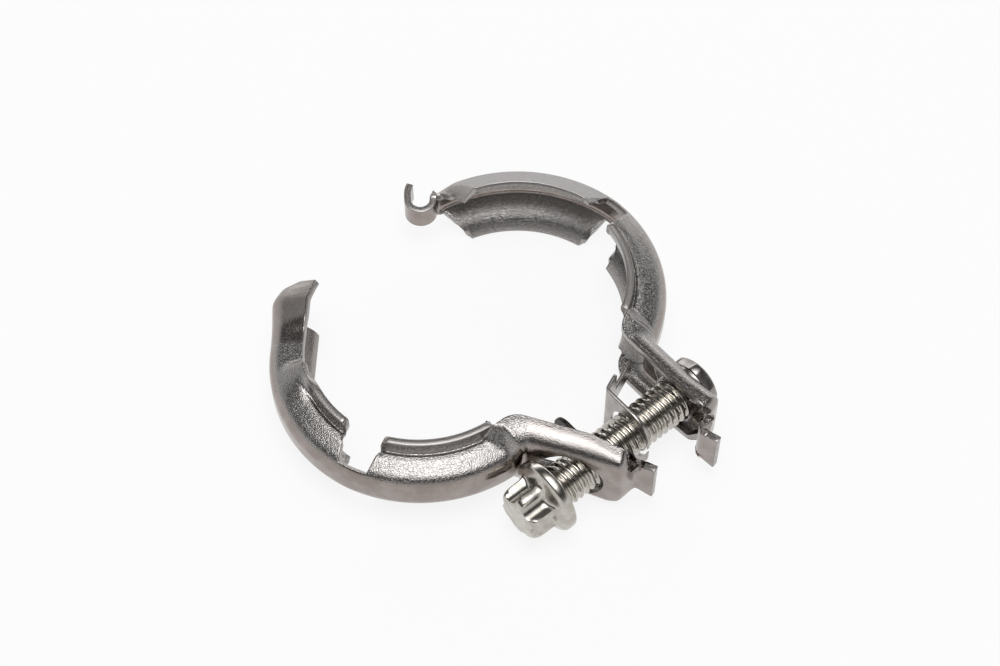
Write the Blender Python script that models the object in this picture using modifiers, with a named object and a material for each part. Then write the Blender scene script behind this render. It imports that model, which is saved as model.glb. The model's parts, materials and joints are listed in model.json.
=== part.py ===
"""V-profile flange clamp, opened and lying on its side.

Two stamped stainless arms meet at a pair of ears that a flange bolt draws
together.  The far arm ends in an outward hook, the near arm in a tongue with
an inward lip that drops into it.  Each arm is one sheet with a relief notch
that leaves a thin web strip as a living hinge, so each is built as two shells
that meet at the middle of that strip.
"""
import bmesh
import bpy
from math import acos, asin, cos, degrees, pi, radians, sin, tan
from mathutils import Matrix, Vector

mm = 0.001

# ---------------------------------------------------------------- sheet arms
SHEET = 1.0 * mm                 # thickness of both arms
RING_RADIUS = 21.2 * mm          # outer face of the web
CHANNEL_DEPTH = 4.55 * mm        # web face to brim face, radially
CLAMP_HEIGHT = 10.8 * mm         # brim edge to brim edge
WEB_FLAT = 2.7 * mm              # height of the flat band of the web
SHOULDER_RADIUS = 1.1 * mm       # web to flange
FLANGE_SLOPE = radians(18)
GROOVE_WIDTH = 1.0 * mm          # bead groove at the foot of the brim
GROOVE_DROP = 0.14 * mm

# ears
EAR_DEPTH = 2.95 * mm            # plate face to wall edge
EAR_CORNER = 2.0 * mm            # rolled corner of plate and wall
EAR_WALL_SLOPE = radians(20)
EAR_CREASE = 0.9 * mm            # bend radius at the web
EAR_INNER_BEND = 2.0 * mm        # bend radius at the wall edge
CREASE_REACH = 10.5              # degrees the crease runs on along the brim
CREASE_BLEND = 4.0               # degrees over which the crease falls
BOLT_TO_CREASE = 7.2 * mm
TAPER_START = 6.5 * mm           # from the crease, along the plate
WALL_END = 12.4 * mm
END_CORNER = 0.9 * mm            # the rolled corner tightens to this
END_SLOPE = radians(6)
JOG_START = 10.9 * mm
LUG_START = 14.2 * mm
LUG_END = 16.8 * mm
LUG_RETURN = 0.4 * mm            # the lug leans back out by this
LUG_HALF = 3.15 * mm             # half of its height
LUG_COVER = 1.3 * mm             # least depth of the wall over the jogged plate
WINDOW_LENGTH = 11.0 * mm
WINDOW_HEIGHT = 7.7 * mm

# plan of the two arms; angles in degrees
FAR_CENTRE = Vector((1.75, 6.2)) * mm
FAR_CREASE_ANGLE = -27.0
FAR_SLANT = 22.5                 # ear plate against the radius
FAR_LUG_JOG = 3.9 * mm           # the lug stands in towards the other ear
FAR_NOTCH = (65.0, 71.0, 74.5)   # ear side cut, hinge, hook side cut at the web
NEAR_CENTRE = Vector((-10.56, -4.48)) * mm
NEAR_CREASE_ANGLE = -49.0
NEAR_SLANT = 31.0
NEAR_LUG_JOG = 2.5 * mm
NEAR_NOTCH = (61.0, 68.0, 71.0)
NOTCH_LEAN = 7.0                 # degrees the far side of a notch leans back at the brim
EAR_LEAN = 4.0                   # and the ear side
LEAN_POWER = 2.5
HOOK_SET = 2.9                   # bend of the hinge strips, inwards
TONGUE_SET = 2.0
CORNER_TRIM = 0.7 * mm           # off the brim's corners at the notch
HINGE_GAP = 0.3 * mm

# hook and tongue
HOOK_START = 149.3               # degrees from the crease
HOOK_LEAN_BACK = 8.0             # brim ends this much sooner
HOOK_HEIGHT = 3.4 * mm
HOOK_CREST = 0.9 * mm
HOOK_CREST_TURN = 60.0
HOOK_MOUTH = 2.6 * mm            # clear width of the U
HOOK_LEG = 0.9 * mm
HOOK_TIP_TURN = 26.0
HOOK_TIP_RADIUS = 4.0 * mm
TONGUE_START = 131.5
TONGUE_RUN = 5.4 * mm            # to the end of the lower brim
TONGUE_REACH = 1.7 * mm
TONGUE_TURN = 28.0
TONGUE_TURN_RADIUS = 3.6 * mm
TONGUE_END = 1.4 * mm
TONGUE_BRIM_START = 126.0        # the upper brim tapers off here
LIP_TURN = 50.0
LIP_RADIUS = 1.4 * mm
LIP_LENGTH = 1.8 * mm

# ---------------------------------------------------------------- bolt and nut
BOLT_DIAMETER = 6.0 * mm
BOLT_RUNNING_GAP = 0.15 * mm
HEAD_STANDOFF = 3.7 * mm         # flange to near plate with the arms open
FLANGE_DIAMETER = 10.4 * mm
FLANGE_EDGE = 1.1 * mm
FLANGE_RISE = 0.9 * mm
HEAD_DIAMETER = 7.5 * mm
HEAD_HEIGHT = 5.8 * mm
HEAD_CHAMFER = 1.3 * mm
FLUTE_RADIUS = 1.25 * mm
FLUTE_DEPTH = 0.7 * mm
FLUTES = 6
THREAD_END = 0.1 * mm            # bolt past the nut
NUT_WIDTH = 7.6 * mm
NUT_HEIGHT = 1.8 * mm            # hexagon outside the ear
NUT_END = 6.8 * mm               # flat end inside the chamfer
NUT_NECK = 7.0 * mm              # round neck that fills the ear's window
NUT_NECK_LENGTH = 3.2 * mm
SEAT_GAP = 0.3 * mm

# ---------------------------------------------------------------- spring parts
CLIP_SHEET = 0.45 * mm
CLIP_HEIGHT = 10.4 * mm
CLIP_LEFT = 4.8 * mm             # bolt's axis to the fold
CLIP_RIGHT = 3.6 * mm
CLIP_HOLE = 7.0 * mm
CLIP_CORNER = 3.4 * mm
CLIP_STANDOFF = 10.7 * mm        # plate to the far ear's face
CLIP_RETURN = 2.6 * mm           # full-height length past the fold
CLIP_LEG_HEIGHT = 3.2 * mm
CLIP_SEAT_DEPTH = 3.6 * mm       # far ear face to the foot of the leg
RETAINER_SHEET = 0.5 * mm
RETAINER_HEIGHT = 8.0 * mm
RETAINER_TIP = 7.0 * mm          # height of its open end
RETAINER_MOUTH = 5.2 * mm        # narrower than the bolt, so it snaps on
RETAINER_LEFT = 5.1 * mm
RETAINER_RIGHT = 1.7 * mm
RETAINER_STANDOFF = 3.2 * mm     # near plate face to the retainer
RETAINER_CORNER = 1.4 * mm

COLOURS = {
    "arm": ((0.46, 0.43, 0.41), 0.32, 1.0),
    "bolt": ((0.66, 0.64, 0.58), 0.18, 1.0),
    "spring": ((0.52, 0.50, 0.48), 0.28, 1.0),
    "dark_spring": ((0.05, 0.045, 0.04), 0.35, 1.0),
}

parts = bpy.data.collections.new("v_flange_clamp")
cutters = bpy.data.collections.new("cutters")


# ---------------------------------------------------------------- helpers
def clear_scene():
    for old in list(bpy.context.scene.objects):
        bpy.data.objects.remove(old, do_unlink=True)
    for collection in (parts, cutters):
        bpy.context.scene.collection.children.link(collection)


def material(name, colour, roughness, metallic):
    new = bpy.data.materials.new(name)
    new.use_nodes = True
    shader = new.node_tree.nodes["Principled BSDF"]
    shader.inputs["Base Color"].default_value = (*colour, 1.0)
    shader.inputs["Roughness"].default_value = roughness
    shader.inputs["Metallic"].default_value = metallic
    return new


def add_object(name, bm, finish, collection=None):
    mesh = bpy.data.meshes.new(name)
    bmesh.ops.recalc_face_normals(bm, faces=bm.faces)
    if bm.calc_volume(signed=True) < 0:
        bmesh.ops.reverse_faces(bm, faces=bm.faces)
    bm.to_mesh(mesh)
    bm.free()
    obj = bpy.data.objects.new(name, mesh)
    (collection or parts).objects.link(obj)
    if finish:
        mesh.materials.append(material(name, *COLOURS[finish]))
    return obj


def polar(radius, angle):
    """Plan point at a radius and an angle in degrees."""
    return Vector((radius * cos(radians(angle)), radius * sin(radians(angle))))


def smooth(value):
    value = min(max(value, 0.0), 1.0)
    return value * value * (3.0 - 2.0 * value)


def spread(start, end, steps):
    """Evenly spaced values from start to end, both included."""
    return [start + (end - start) * i / steps for i in range(steps + 1)]


def arc(centre, radius, start, end, steps):
    """Points on an arc; angles in degrees."""
    return [centre + polar(radius, angle) for angle in spread(start, end, steps)]


def cutter_prism(name, outline, depth, matrix):
    """Straight prism with an outline in its own XY plane, centred in Z."""
    bm = bmesh.new()
    low = [bm.verts.new((p.x, p.y, -depth / 2)) for p in outline]
    face = bm.faces.new(low)
    lifted = bmesh.ops.extrude_face_region(bm, geom=[face])
    top = [v for v in lifted["geom"] if isinstance(v, bmesh.types.BMVert)]
    bmesh.ops.translate(bm, verts=top, vec=(0, 0, depth))
    bm.transform(matrix)
    cutter = add_object(name, bm, None, cutters)
    cutter.hide_render = True
    cutter.display_type = "WIRE"
    return cutter


def boolean(obj, cutter, operation="DIFFERENCE"):
    modifier = obj.modifiers.new(cutter.name, "BOOLEAN")
    modifier.operation = operation
    modifier.object = cutter
    modifier.solver = "EXACT"


def turned(name, profile, finish, steps, collection=None):
    """Solid of revolution about local Z from (radius, height) points."""
    bm = bmesh.new()
    verts = [bm.verts.new((r, 0, z)) for r, z in profile]
    for a, b in zip(verts, verts[1:]):
        bm.edges.new((a, b))
    mesh = bpy.data.meshes.new(name)
    bm.to_mesh(mesh)
    bm.free()
    obj = bpy.data.objects.new(name, mesh)
    (collection or parts).objects.link(obj)
    screw = obj.modifiers.new("turn", "SCREW")
    screw.steps = steps
    screw.render_steps = steps
    screw.use_merge_vertices = True
    screw.merge_threshold = 0.01 * mm
    screw.use_normal_calculate = True
    if finish:
        mesh.materials.append(material(name, *COLOURS[finish]))
    return obj


# ---------------------------------------------------------------- sections
# A section is ten rows, from mid-height out to the sheet's edge.  Each row
# is a depth behind the web or plate face and a height.
def ring_rows():
    flat = WEB_FLAT / 2
    shoulder = Vector((SHOULDER_RADIUS, flat))
    rows = [Vector((0, 0))]
    rows += arc(shoulder, SHOULDER_RADIUS, 180, 90 + degrees(FLANGE_SLOPE), 3)
    ridge_depth = CHANNEL_DEPTH - GROOVE_WIDTH
    ridge = rows[-1].y + (ridge_depth - rows[-1].x) * tan(FLANGE_SLOPE)
    rows.append(Vector((ridge_depth, ridge)))
    rows.append(Vector((ridge_depth + 0.45 * GROOVE_WIDTH, ridge - GROOVE_DROP)))
    rows.append(Vector((CHANNEL_DEPTH - 0.15 * GROOVE_WIDTH, ridge)))
    rows.append(Vector((CHANNEL_DEPTH, ridge + 0.5 * GROOVE_WIDTH)))
    rows.append(Vector((CHANNEL_DEPTH, CLAMP_HEIGHT / 2)))
    return [Vector((row.x / CHANNEL_DEPTH, row.y)) for row in rows]


def ear_rows(radius, slope):
    corner = arc(Vector((radius, 0)), radius, 180, 90 + degrees(slope), 3)
    rise = (EAR_DEPTH - corner[-1].x) * tan(slope)
    foot = CLAMP_HEIGHT / 2 - rise - corner[-1].y
    rows = [Vector((0, 0))] + [point + Vector((0, foot)) for point in corner]
    edge = Vector((EAR_DEPTH, CLAMP_HEIGHT / 2))
    for share in (0.25, 0.5, 0.7, 0.85, 1.0):
        rows.append(rows[4].lerp(edge, share))
    return [Vector((row.x / EAR_DEPTH, row.y)) for row in rows]


RING = ring_rows()
EAR = ear_rows(EAR_CORNER, EAR_WALL_SLOPE)
EAR_END = ear_rows(END_CORNER, END_SLOPE)
TOP_ROW = len(RING) - 1
LUG_ROW = 1                      # rows that run on as the lug
STRIP_ROW = 3                    # rows that run on as the hinge strip
RIDGE_ROW = 5                    # rows that run on as the tongue


class Station:
    """One cross-section: a point for each row of its upper half, and the
    rows kept above and below mid-height up to the next station."""

    def __init__(self, points, above=TOP_ROW, below=TOP_ROW):
        self.points = points
        self.above = above
        self.below = below

    def point(self, row):
        point = self.points[abs(row)]
        return point if row > 0 else Vector((point.x, point.y, -point.z))


def section(outer, inner, rows, above=TOP_ROW, below=TOP_ROW):
    """Station with its rows spread between a web point and a brim point."""
    points = []
    for fraction, height in rows:
        plan = outer.lerp(inner, fraction)
        points.append(Vector((plan.x, plan.y, height)))
    return Station(points, above, below)


# ---------------------------------------------------------------- arm stations
# An arm's own plan has its ring centre at the origin and its crease on +X.
# The ear leaves the crease clockwise of the radius, the arm runs anticlockwise.
class Arm:
    def __init__(self, centre, crease_angle, slant, lug_jog, hand):
        self.centre = centre
        self.lug_jog = lug_jog
        self.turn = radians(crease_angle)
        self.hand = hand                       # +1 as drawn, -1 mirrored
        self.along = polar(1.0, -slant)        # down the ear plate
        self.inward = polar(1.0, -slant - 90)  # towards the other ear
        self.crease = Vector((RING_RADIUS, 0))

    def world(self, point):
        flat = Vector((point.x, point.y * self.hand))
        flat = Matrix.Rotation(self.turn, 2) @ flat + self.centre
        return Vector((flat.x, flat.y, point.z if len(point) == 3 else 0.0))

    def direction(self, vector):
        flat = Matrix.Rotation(self.turn, 2) @ Vector((vector.x, vector.y * self.hand))
        return Vector((flat.x, flat.y, 0.0))

    def bend(self, radius, start, fillet, steps):
        """Fillet from a line down the ear to a ring of some radius, as the
        points from the ear to the ring and the angle where it meets it."""
        normal = -self.inward
        reach = (start.dot(normal) + fillet) / (radius + fillet)
        normal_angle = degrees(normal.angle_signed(Vector((1, 0))))
        meet = normal_angle - degrees(acos(reach))
        middle = polar(radius + fillet, meet)
        points = arc(middle, fillet, normal_angle - 180, meet - 180, steps)
        return points, meet

    def ear_point(self, distance, depth):
        return self.crease + self.along * distance + self.inward * depth


def jog(arm, distance):
    """How far the plate has stepped in on its way to the lug."""
    back = LUG_RETURN * max(distance - LUG_START, 0.0) / (LUG_END - LUG_START)
    step = arm.lug_jog * smooth((distance - JOG_START) / (LUG_START - JOG_START))
    return step - back


def lug_stations(arm):
    stations = []
    for distance in [LUG_END] + spread(LUG_START, WALL_END, 4)[:-1]:
        depth = jog(arm, distance)
        narrow = smooth((distance - WALL_END) / (LUG_START - WALL_END))
        half = EAR_END[LUG_ROW].y + (LUG_HALF - EAR_END[LUG_ROW].y) * narrow
        rows = [Vector((row.x, row.y)) for row in EAR]
        rows[LUG_ROW].y = half
        outer = arm.ear_point(distance, depth)
        inner = arm.ear_point(distance, depth + EAR_DEPTH)
        stations.append(section(outer, inner, rows, LUG_ROW, LUG_ROW))
    return stations


def ear_stations(arm, steps=5):
    """Walls and plate, from the walls' end to the bend."""
    outer_bend, meet = arm.bend(RING_RADIUS, arm.crease, EAR_CREASE, steps)
    inner_radius = RING_RADIUS - CHANNEL_DEPTH
    wall_foot = arm.ear_point(0, EAR_DEPTH)
    inner_bend, inner_meet = arm.bend(inner_radius, wall_foot, EAR_INNER_BEND, steps)
    outer_end = (outer_bend[0] - arm.crease).dot(arm.along)
    inner_end = (inner_bend[0] - arm.crease).dot(arm.along)
    stations = []
    for share in (0.0, 0.08, 0.16, 0.25, 0.4, 0.55, 0.8):
        reach = WALL_END + (outer_end - WALL_END) * share
        wall_reach = WALL_END + (inner_end - WALL_END) * share
        fall = smooth((reach - TAPER_START) / (WALL_END - TAPER_START))
        rows = [row.lerp(end_row, fall) for row, end_row in zip(EAR, EAR_END)]
        depth = jog(arm, reach)
        outer = arm.ear_point(reach, depth)
        inner = arm.ear_point(wall_reach, max(EAR_DEPTH, depth + LUG_COVER))
        stations.append(section(outer, inner, rows))
    for outer, inner in zip(outer_bend, inner_bend):
        stations.append(section(outer, inner, EAR))
    return stations, meet, inner_meet


def ring_station(arm, angle, lean=0.0, above=TOP_ROW, below=TOP_ROW, trim=0.0,
                 power=LEAN_POWER):
    """Section of the ring, with the ear's crease let in near the ear.  The
    lean turns the brim ahead of the web, in degrees, and the trim takes
    height off the brim."""
    points = []
    for ring, ear in zip(RING, EAR):
        crease = CREASE_REACH * ring.x + CREASE_BLEND
        fraction, height = ring.lerp(ear, smooth((crease - angle) / CREASE_BLEND))
        radius = RING_RADIUS - CHANNEL_DEPTH * fraction
        plan = polar(radius, angle + lean * fraction ** power)
        points.append(Vector((plan.x, plan.y, height)))
    points[-1].z -= trim
    return Station(points, above, below)


def ear_segment_stations(arm, notch):
    """Lug, ear, ring and half of the hinge strip."""
    cut, hinge, _ = notch
    ear, meet, inner_meet = ear_stations(arm)
    fine = CREASE_REACH + 2 * CREASE_BLEND
    stations = lug_stations(arm) + ear
    for share in spread(0, 1, 11)[1:]:
        angle = meet + (fine - meet) * share
        ahead = (inner_meet - meet) * (1 - share)
        stations.append(ring_station(arm, angle, ahead, power=1.0))
    for share in (0.15, 0.3, 0.45, 0.6, 0.75, 0.87, 0.96):
        angle = fine + (cut - fine) * share
        stations.append(ring_station(arm, angle, -EAR_LEAN * share ** 4))
    stations.append(ring_station(arm, cut, -EAR_LEAN, STRIP_ROW, STRIP_ROW, CORNER_TRIM))
    gap = degrees(HINGE_GAP / 2 / RING_RADIUS)
    stations.append(ring_station(arm, hinge - gap))
    return stations


def walk(start, heading, moves):
    """Plan path from straight runs ("run", length) and turns
    ("turn", radius, degrees, steps); each step is a point and a heading."""
    path = [(start, heading)]
    for move in moves:
        point, heading = path[-1]
        if move[0] == "run":
            path.append((point + polar(move[1], heading), heading))
            continue
        _, radius, angle, steps = move
        side = 90 if angle > 0 else -90
        middle = point + polar(radius, heading + side)
        for turn in spread(0, angle, steps)[1:]:
            path.append((middle + polar(radius, heading - side + turn), heading + turn))
    return path


def strip_stations(path, half_height, last_row):
    """Flat strip along a path: only the rows up to last_row are used."""
    rows = [Vector((0, half_height * min(row / last_row, 1.0))) for row in range(TOP_ROW + 1)]
    stations = []
    for point, heading in path:
        inner = point + polar(CHANNEL_DEPTH, heading + 90)
        stations.append(section(point, inner, rows, last_row, last_row))
    return stations


def set_hinge(stations, notch, angle):
    """Turn a whole segment about its hinge strip, towards the ring."""
    middle = polar(RING_RADIUS - SHEET / 2, notch[1])
    turn = Matrix.Rotation(radians(angle), 2)
    for station in stations:
        turned_points = []
        for point in station.points:
            plan = turn @ (point.xy - middle) + middle
            turned_points.append(Vector((plan.x, plan.y, point.z)))
        station.points = turned_points
    return stations


def hook_segment_stations(arm, notch):
    """Half of the hinge strip, the ring and the hook."""
    _, hinge, cut = notch
    gap = degrees(HINGE_GAP / 2 / RING_RADIUS)
    stations = [ring_station(arm, hinge + gap, 0.0, STRIP_ROW, STRIP_ROW)]
    stations.append(ring_station(arm, cut, NOTCH_LEAN, trim=CORNER_TRIM))
    for share in [0.03] + spread(0, 1, 12)[1:-1]:
        angle = cut + (HOOK_START - cut) * share
        lean = NOTCH_LEAN * (1 - share) ** 4 - HOOK_LEAN_BACK * share ** 4
        stations.append(ring_station(arm, angle, lean))
    end = ring_station(arm, HOOK_START, -HOOK_LEAN_BACK, STRIP_ROW, STRIP_ROW)
    stations.append(end)
    moves = [("turn", HOOK_CREST, HOOK_CREST_TURN, 4), ("turn", HOOK_MOUTH / 2, -180, 8),
             ("run", HOOK_LEG), ("turn", HOOK_TIP_RADIUS, -HOOK_TIP_TURN, 3)]
    path = walk(polar(RING_RADIUS, HOOK_START), HOOK_START + 90, moves)
    stations += strip_stations(path[1:], HOOK_HEIGHT / 2, STRIP_ROW)
    return set_hinge(stations, notch, HOOK_SET)


def tongue_segment_stations(arm, notch):
    """Half of the hinge strip, the ring and the tongue with its lip."""
    _, hinge, cut = notch
    gap = degrees(HINGE_GAP / 2 / RING_RADIUS)
    stations = [ring_station(arm, hinge + gap, 0.0, STRIP_ROW, STRIP_ROW)]
    stations.append(ring_station(arm, cut, NOTCH_LEAN, trim=CORNER_TRIM))
    for share in [0.03] + spread(0, 1, 10)[1:-1]:
        angle = cut + (TONGUE_BRIM_START - cut) * share
        stations.append(ring_station(arm, angle, NOTCH_LEAN * (1 - share) ** 4))
    stations.append(ring_station(arm, TONGUE_BRIM_START, 0.0, RIDGE_ROW))
    stations.append(ring_station(arm, TONGUE_START, 0.0, RIDGE_ROW))
    moves = [("run", 0.5 * TONGUE_RUN), ("run", 0.5 * TONGUE_RUN), ("run", TONGUE_REACH),
             ("turn", TONGUE_TURN_RADIUS, TONGUE_TURN, 3), ("run", TONGUE_END)]
    path = walk(polar(RING_RADIUS, TONGUE_START), TONGUE_START + 90, moves)
    for index, (point, heading) in enumerate(path[1:]):
        inner = point + polar(CHANNEL_DEPTH, heading + 90)
        below = TOP_ROW if index < 2 else RIDGE_ROW
        stations.append(section(point, inner, RING, RIDGE_ROW, below))
    stations[-1].above = STRIP_ROW
    stations[-1].below = STRIP_ROW
    point, heading = path[-1]
    lip = walk(point, heading, [("turn", LIP_RADIUS, LIP_TURN, 4), ("run", LIP_LENGTH)])
    stations += strip_stations(lip[1:], RING[STRIP_ROW].y, STRIP_ROW)
    return set_hinge(stations, notch, TONGUE_SET)


def sheet_object(name, arm, stations, finish):
    """Loft the stations into the arm's outer skin and thicken it inwards."""
    bm = bmesh.new()
    corners = {}

    def corner(index, row):
        if (index, row) not in corners:
            corners[index, row] = bm.verts.new(arm.world(stations[index].point(row)))
        return corners[index, row]

    for index, station in enumerate(stations[:-1]):
        for row in range(-station.below, station.above):
            loop = [corner(index, row), corner(index + 1, row),
                    corner(index + 1, row + 1), corner(index, row + 1)]
            bm.faces.new(loop if arm.hand > 0 else loop[::-1])
    mesh = bpy.data.meshes.new(name)
    bm.to_mesh(mesh)
    bm.free()
    obj = bpy.data.objects.new(name, mesh)
    parts.objects.link(obj)
    mesh.materials.append(material(name, *COLOURS[finish]))
    thick = obj.modifiers.new("sheet", "SOLIDIFY")
    thick.thickness = SHEET
    thick.offset = -1.0
    thick.use_even_offset = True
    thick.use_quality_normals = True
    mesh.shade_smooth()
    mesh.set_sharp_from_angle(angle=radians(35))
    return obj


def slot_outline(length, height, steps=8):
    """Round-ended slot about the origin, long in X."""
    radius = height / 2
    offset = Vector(((length - height) / 2, 0))
    return arc(offset, radius, -90, 90, steps) + arc(-offset, radius, 90, 270, steps)


def cut_window(obj, arm):
    """Bolt window through the ear plate."""
    middle = arm.world(arm.ear_point(BOLT_TO_CREASE, 0))
    along = arm.direction(arm.along)
    through = arm.direction(arm.inward)
    up = Vector((0, 0, 1))
    frame = Matrix((along, up, through)).transposed().to_4x4()
    frame.translation = middle
    outline = slot_outline(WINDOW_LENGTH, WINDOW_HEIGHT)
    boolean(obj, cutter_prism(obj.name + "_window", outline, 3 * SHEET, frame))


# ---------------------------------------------------------------- bolt line
def bolt_frame(origin, direction):
    """Frame with local Z along the bolt and local X level."""
    side = Vector((0, 0, 1)).cross(direction)
    frame = Matrix((side, direction.cross(side), direction)).transposed().to_4x4()
    frame.translation = origin
    return frame


def flange_bolt(frame, shank):
    """External hexalobular flange bolt; local origin under the flange."""
    head = HEAD_DIAMETER / 2
    flange = FLANGE_DIAMETER / 2
    body = BOLT_DIAMETER / 2
    point = 0.7 * mm
    profile = [
        (0, -HEAD_HEIGHT),
        (head - HEAD_CHAMFER, -HEAD_HEIGHT),
        (head - 0.25 * HEAD_CHAMFER, -HEAD_HEIGHT + 0.45 * HEAD_CHAMFER),
        (head, -HEAD_HEIGHT + HEAD_CHAMFER),
        (head, -FLANGE_EDGE - FLANGE_RISE),
        (flange - 0.35 * mm, -FLANGE_EDGE),
        (flange, -0.6 * FLANGE_EDGE),
        (flange - 0.1 * mm, 0),
        (body, 0),
        (body, shank - point),
        (body - point, shank),
        (0, shank),
    ]
    bolt = turned("flange_bolt", profile[::-1], "bolt", 36)
    bolt.matrix_world = frame
    length = HEAD_HEIGHT - FLANGE_EDGE - FLANGE_RISE + 1.0 * mm
    middle = -HEAD_HEIGHT - 0.5 * mm + length / 2 - 0.5 * mm
    distance = head - FLUTE_DEPTH + FLUTE_RADIUS
    for index in range(FLUTES):
        spin = Matrix.Rotation(2 * pi * (index + 0.5) / FLUTES, 4, "Z")
        place = frame @ spin @ Matrix.Translation((distance, 0, middle))
        outline = arc(Vector((0, 0)), FLUTE_RADIUS, 0, 337.5, 15)
        boolean(bolt, cutter_prism("flute_%d" % (index + 1), outline, length, place))
    return bolt


def hex_nut(frame):
    """Hexagon nut with its flats level and a round neck that goes through
    the ear; local origin at its seat."""
    corner = NUT_WIDTH / 2 / cos(pi / 6)
    bm = bmesh.new()
    bmesh.ops.create_cone(bm, cap_ends=True, segments=6, radius1=corner, radius2=corner,
                          depth=NUT_HEIGHT)
    bmesh.ops.rotate(bm, verts=bm.verts, matrix=Matrix.Rotation(pi / 6, 3, "Z"))
    bmesh.ops.translate(bm, verts=bm.verts, vec=(0, 0, NUT_HEIGHT / 2))
    nut = add_object("hex_nut", bm, "bolt")
    nut.matrix_world = frame
    chamfer = corner - NUT_END / 2
    crown = [(0, 0), (corner - 0.2 * mm, 0), (corner + 0.1 * mm, 0.2 * mm),
             (corner + 0.1 * mm, NUT_HEIGHT - 0.8 * chamfer),
             (corner - chamfer, NUT_HEIGHT), (0, NUT_HEIGHT)]
    envelope = turned("nut_crown", crown[::-1], None, 36, cutters)
    neck = [(0, -NUT_NECK_LENGTH), (NUT_NECK / 2 - 0.3 * mm, -NUT_NECK_LENGTH),
            (NUT_NECK / 2, -NUT_NECK_LENGTH + 0.3 * mm), (NUT_NECK / 2, 0.5 * NUT_HEIGHT),
            (0, 0.5 * NUT_HEIGHT)]
    collar = turned("nut_neck", neck[::-1], None, 36, cutters)
    for tool, operation in ((envelope, "INTERSECT"), (collar, "UNION")):
        tool.hide_render = True
        tool.display_type = "WIRE"
        tool.matrix_world = frame
        boolean(nut, tool, operation)
    bore = arc(Vector((0, 0)), BOLT_DIAMETER / 2 + BOLT_RUNNING_GAP, 0, 350, 35)
    boolean(nut, cutter_prism("nut_bore", bore, 4 * NUT_NECK_LENGTH, frame))
    return nut


def strip_object(name, points, lows, highs, thickness, finish):
    """Thin upright strip through plan points with a low and high edge each."""
    bm = bmesh.new()
    columns = []
    for point, low, high in zip(points, lows, highs):
        columns.append([bm.verts.new((point.x, point.y, low + (high - low) * share))
                        for share in spread(0, 1, 4)])
    for left, right in zip(columns, columns[1:]):
        for row in range(len(left) - 1):
            bm.faces.new((left[row], right[row], right[row + 1], left[row + 1]))
    mesh = bpy.data.meshes.new(name)
    bm.to_mesh(mesh)
    bm.free()
    obj = bpy.data.objects.new(name, mesh)
    parts.objects.link(obj)
    mesh.materials.append(material(name, *COLOURS[finish]))
    thick = obj.modifiers.new("sheet", "SOLIDIFY")
    thick.thickness = thickness
    thick.offset = 0.0
    thick.use_even_offset = True
    return obj


def rounded_edge(distance, radius, half_height):
    """Half height of a plate at some distance from its round-cornered end."""
    if distance >= radius:
        return half_height
    drop = radius - (radius ** 2 - (radius - distance) ** 2) ** 0.5
    return half_height - drop


def spring_clip(frame, far):
    """Strip that holds the bolt: a holed plate across it, folded back into a
    leg that is fixed inside the far arm's ear."""
    reach = -CLIP_STANDOFF
    across = [CLIP_RIGHT - d * CLIP_CORNER for d in (0.0, 0.1, 0.3, 0.6, 1.0)]
    across += [-0.4 * CLIP_LEFT, -CLIP_LEFT + 0.5 * mm, -CLIP_LEFT]
    half = CLIP_HEIGHT / 2
    points = [(frame @ Vector((-x, 0, reach))).xy for x in across]
    halves = [rounded_edge(CLIP_RIGHT - x + 0.05 * mm, CLIP_CORNER, half) for x in across]
    foot = far.world(far.ear_point(-0.5 * mm, CLIP_SEAT_DEPTH)).xy
    fold = points[-1]
    leg = (foot - fold).normalized()
    points += [fold + leg * CLIP_RETURN, fold + leg * (CLIP_RETURN + 0.6 * mm), foot]
    halves += [half, CLIP_LEG_HEIGHT / 2, CLIP_LEG_HEIGHT / 2]
    clip = strip_object("bolt_spring_clip", points, [-h for h in halves], halves,
                        CLIP_SHEET, "spring")
    hole = arc(Vector((0, 0)), CLIP_HOLE / 2, 0, 345, 23)
    place = frame @ Matrix.Translation((0, 0, reach))
    boolean(clip, cutter_prism("clip_hole", hole, 2 * mm, place))
    return clip


def bolt_retainer(frame, reach):
    """Thin fork snapped on the bolt inside the near ear."""
    half = RETAINER_HEIGHT / 2
    width = RETAINER_LEFT + RETAINER_RIGHT
    points = []
    halves = []
    for share in (0.0, 0.04, 0.12, 0.25, 0.4, 0.6, 0.8, 1.0):
        across = -RETAINER_LEFT + width * share
        points.append((frame @ Vector((-across, 0, reach))).xy)
        edge = rounded_edge(across + RETAINER_LEFT + 0.05 * mm, RETAINER_CORNER, half)
        halves.append(edge - (half - RETAINER_TIP / 2) * smooth((share - 0.4) / 0.6))
    plate = strip_object("bolt_retaining_plate", points, [-h for h in halves], halves,
                         RETAINER_SHEET, "dark_spring")
    radius = BOLT_DIAMETER / 2 + BOLT_RUNNING_GAP
    mouth = degrees(asin(RETAINER_MOUTH / 2 / radius))
    slot = arc(Vector((0, 0)), radius, 180 + mouth, 540 - mouth, 20)
    slot += [Vector((-2 * RETAINER_RIGHT, slot[-1].y)), Vector((-2 * RETAINER_RIGHT, slot[0].y))]
    place = frame @ Matrix.Translation((0, 0, reach))
    boolean(plate, cutter_prism("retainer_slot", slot, 2 * mm, place))
    return plate


# ---------------------------------------------------------------- assembly
def hinge_point(arm, notch):
    return arm.world(polar(RING_RADIUS - SHEET / 2, notch[1]))


def joint_empty(name, place, children):
    empty = bpy.data.objects.new(name, None)
    parts.objects.link(empty)
    empty.location = place
    bpy.context.view_layer.update()
    for child in children:
        world = child.matrix_world.copy()
        child.parent = empty
        child.matrix_parent_inverse = empty.matrix_world.inverted()
        child.matrix_world = world
    return empty


def line_crossing(point, direction, other, other_direction):
    """Distance along the first plan line to where it meets the second."""
    cross = direction.x * other_direction.y - direction.y * other_direction.x
    gap = other - point
    return (gap.x * other_direction.y - gap.y * other_direction.x) / cross


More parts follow.
